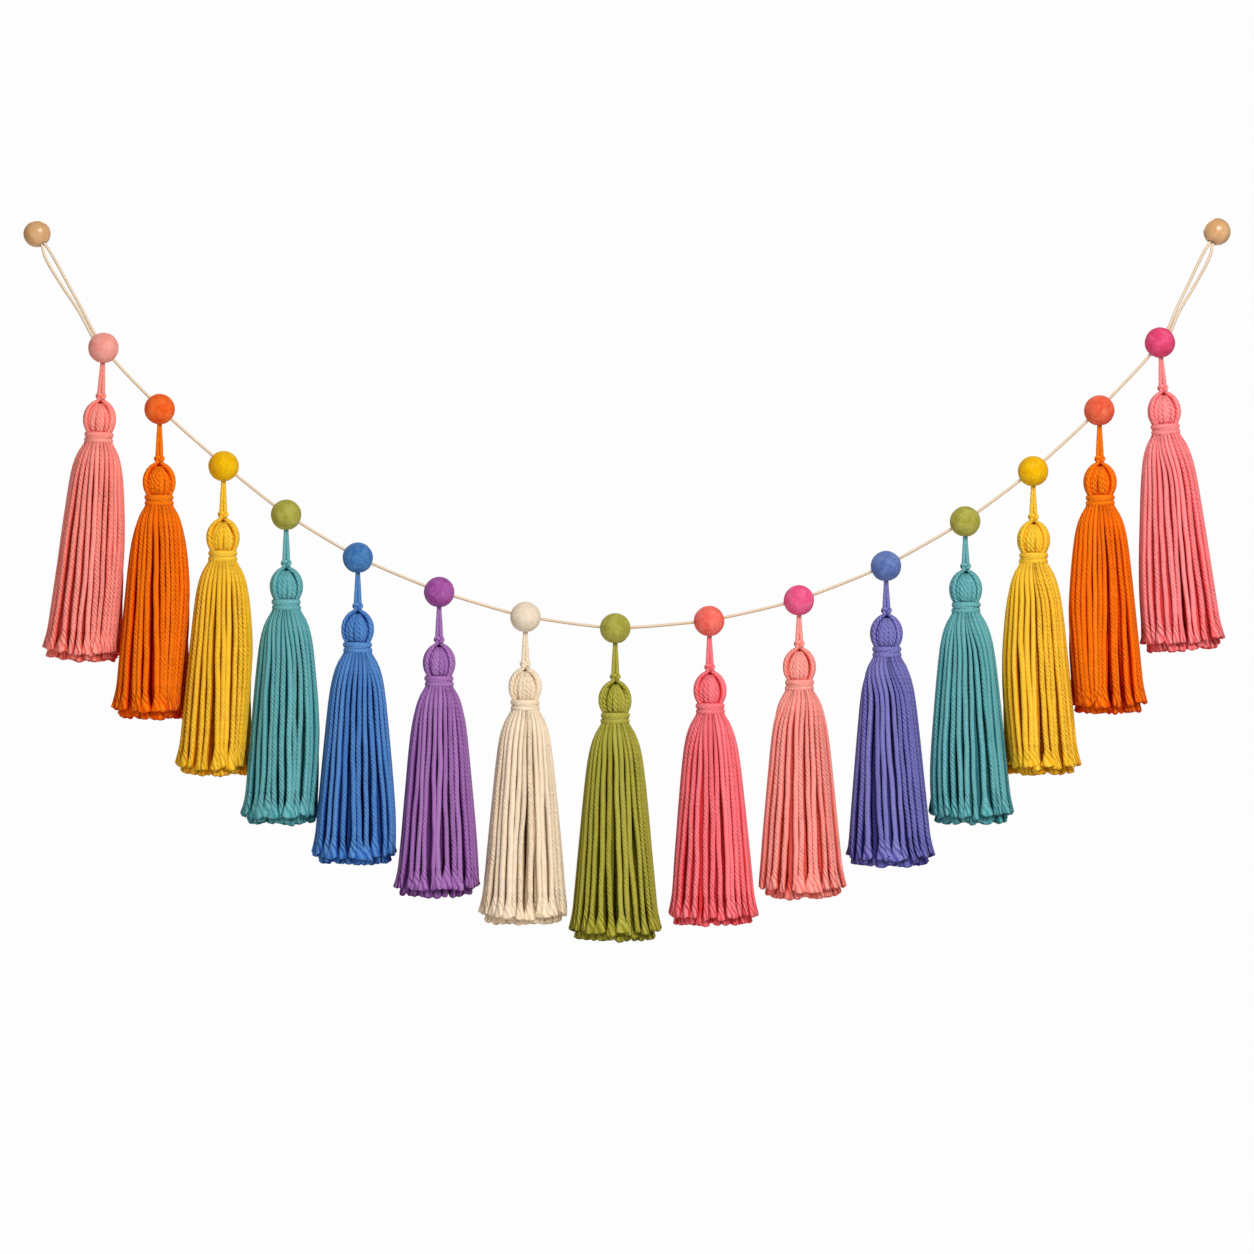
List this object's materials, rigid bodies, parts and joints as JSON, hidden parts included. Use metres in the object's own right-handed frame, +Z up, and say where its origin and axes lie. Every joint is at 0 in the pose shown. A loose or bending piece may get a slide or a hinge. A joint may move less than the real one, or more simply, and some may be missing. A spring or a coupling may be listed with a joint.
{
  "type": "tassel garland",
  "caption": "Wall garland of long yarn tassels that hang from felt balls on a sagging string, with a wooden bead and a hanging loop at each end.",
  "frame": {"origin": "point inside the left end loop, 12 mm below the centre of its wooden bead, where a pin or a hook holds the garland", "axes": "+X along the garland to the right end loop, +Y to the wall behind, +Z up"},
  "size_m": [0.7918, 0.0563, 0.4735],
  "materials": {
    "string": "matt twisted cotton string, natural cream",
    "wood": "pale turned wood, fine straight grain, satin varnish",
    "felt_salmon": "matt wool felt, fine fibrous surface",
    "yarn_coral": "soft matt plied yarn, fuzzy cut ends",
    "felt_tangerine": "matt wool felt, fine fibrous surface",
    "yarn_marigold": "soft matt plied yarn, fuzzy cut ends",
    "felt_yellow": "matt wool felt, fine fibrous surface",
    "yarn_mustard": "soft matt plied yarn, fuzzy cut ends",
    "felt_moss": "matt wool felt, fine fibrous surface",
    "yarn_teal": "soft matt plied yarn, fuzzy cut ends",
    "felt_blue": "matt wool felt, fine fibrous surface",
    "yarn_cobalt": "soft matt plied yarn, fuzzy cut ends",
    "felt_purple": "matt wool felt, fine fibrous surface",
    "yarn_violet": "soft matt plied yarn, fuzzy cut ends",
    "felt_cream": "matt wool felt, fine fibrous surface",
    "yarn_sand": "soft matt plied yarn, fuzzy cut ends",
    "yarn_olive": "soft matt plied yarn, fuzzy cut ends",
    "felt_red_coral": "matt wool felt, fine fibrous surface",
    "yarn_melon": "soft matt plied yarn, fuzzy cut ends",
    "felt_rose": "matt wool felt, fine fibrous surface",
    "yarn_peach": "soft matt plied yarn, fuzzy cut ends",
    "felt_periwinkle": "matt wool felt, fine fibrous surface",
    "yarn_indigo": "soft matt plied yarn, fuzzy cut ends",
    "felt_vermilion": "matt wool felt, fine fibrous surface",
    "felt_raspberry": "matt wool felt, fine fibrous surface",
    "yarn_pink": "soft matt plied yarn, fuzzy cut ends"
  },
  "bodies": {
    "root": {"tassel_01": "yarn_coral", "binding_01": "yarn_coral", "felt_ball_01": "felt_salmon", "tassel_02": "yarn_marigold", "binding_02": "yarn_marigold", "felt_ball_02": "felt_tangerine", "tassel_03": "yarn_mustard", "binding_03": "yarn_mustard", "felt_ball_03": "felt_yellow", "tassel_04": "yarn_teal", "binding_04": "yarn_teal", "felt_ball_04": "felt_moss", "tassel_05": "yarn_cobalt", "binding_05": "yarn_cobalt", "felt_ball_05": "felt_blue", "tassel_06": "yarn_violet", "binding_06": "yarn_violet", "felt_ball_06": "felt_purple", "tassel_07": "yarn_sand", "binding_07": "yarn_sand", "felt_ball_07": "felt_cream", "tassel_08": "yarn_olive", "binding_08": "yarn_olive", "felt_ball_08": "felt_moss", "tassel_09": "yarn_melon", "binding_09": "yarn_melon", "felt_ball_09": "felt_red_coral", "tassel_10": "yarn_peach", "binding_10": "yarn_peach", "felt_ball_10": "felt_rose", "tassel_11": "yarn_indigo", "binding_11": "yarn_indigo", "felt_ball_11": "felt_periwinkle", "tassel_12": "yarn_teal", "binding_12": "yarn_teal", "felt_ball_12": "felt_moss", "tassel_13": "yarn_mustard", "binding_13": "yarn_mustard", "felt_ball_13": "felt_yellow", "tassel_14": "yarn_marigold", "binding_14": "yarn_marigold", "felt_ball_14": "felt_vermilion", "tassel_15": "yarn_pink", "binding_15": "yarn_pink", "felt_ball_15": "felt_raspberry", "string": "string", "string_tail_left": "string", "string_tail_right": "string", "wood_bead_left": "wood", "wood_bead_right": "wood"}
  },
  "joints": []
}
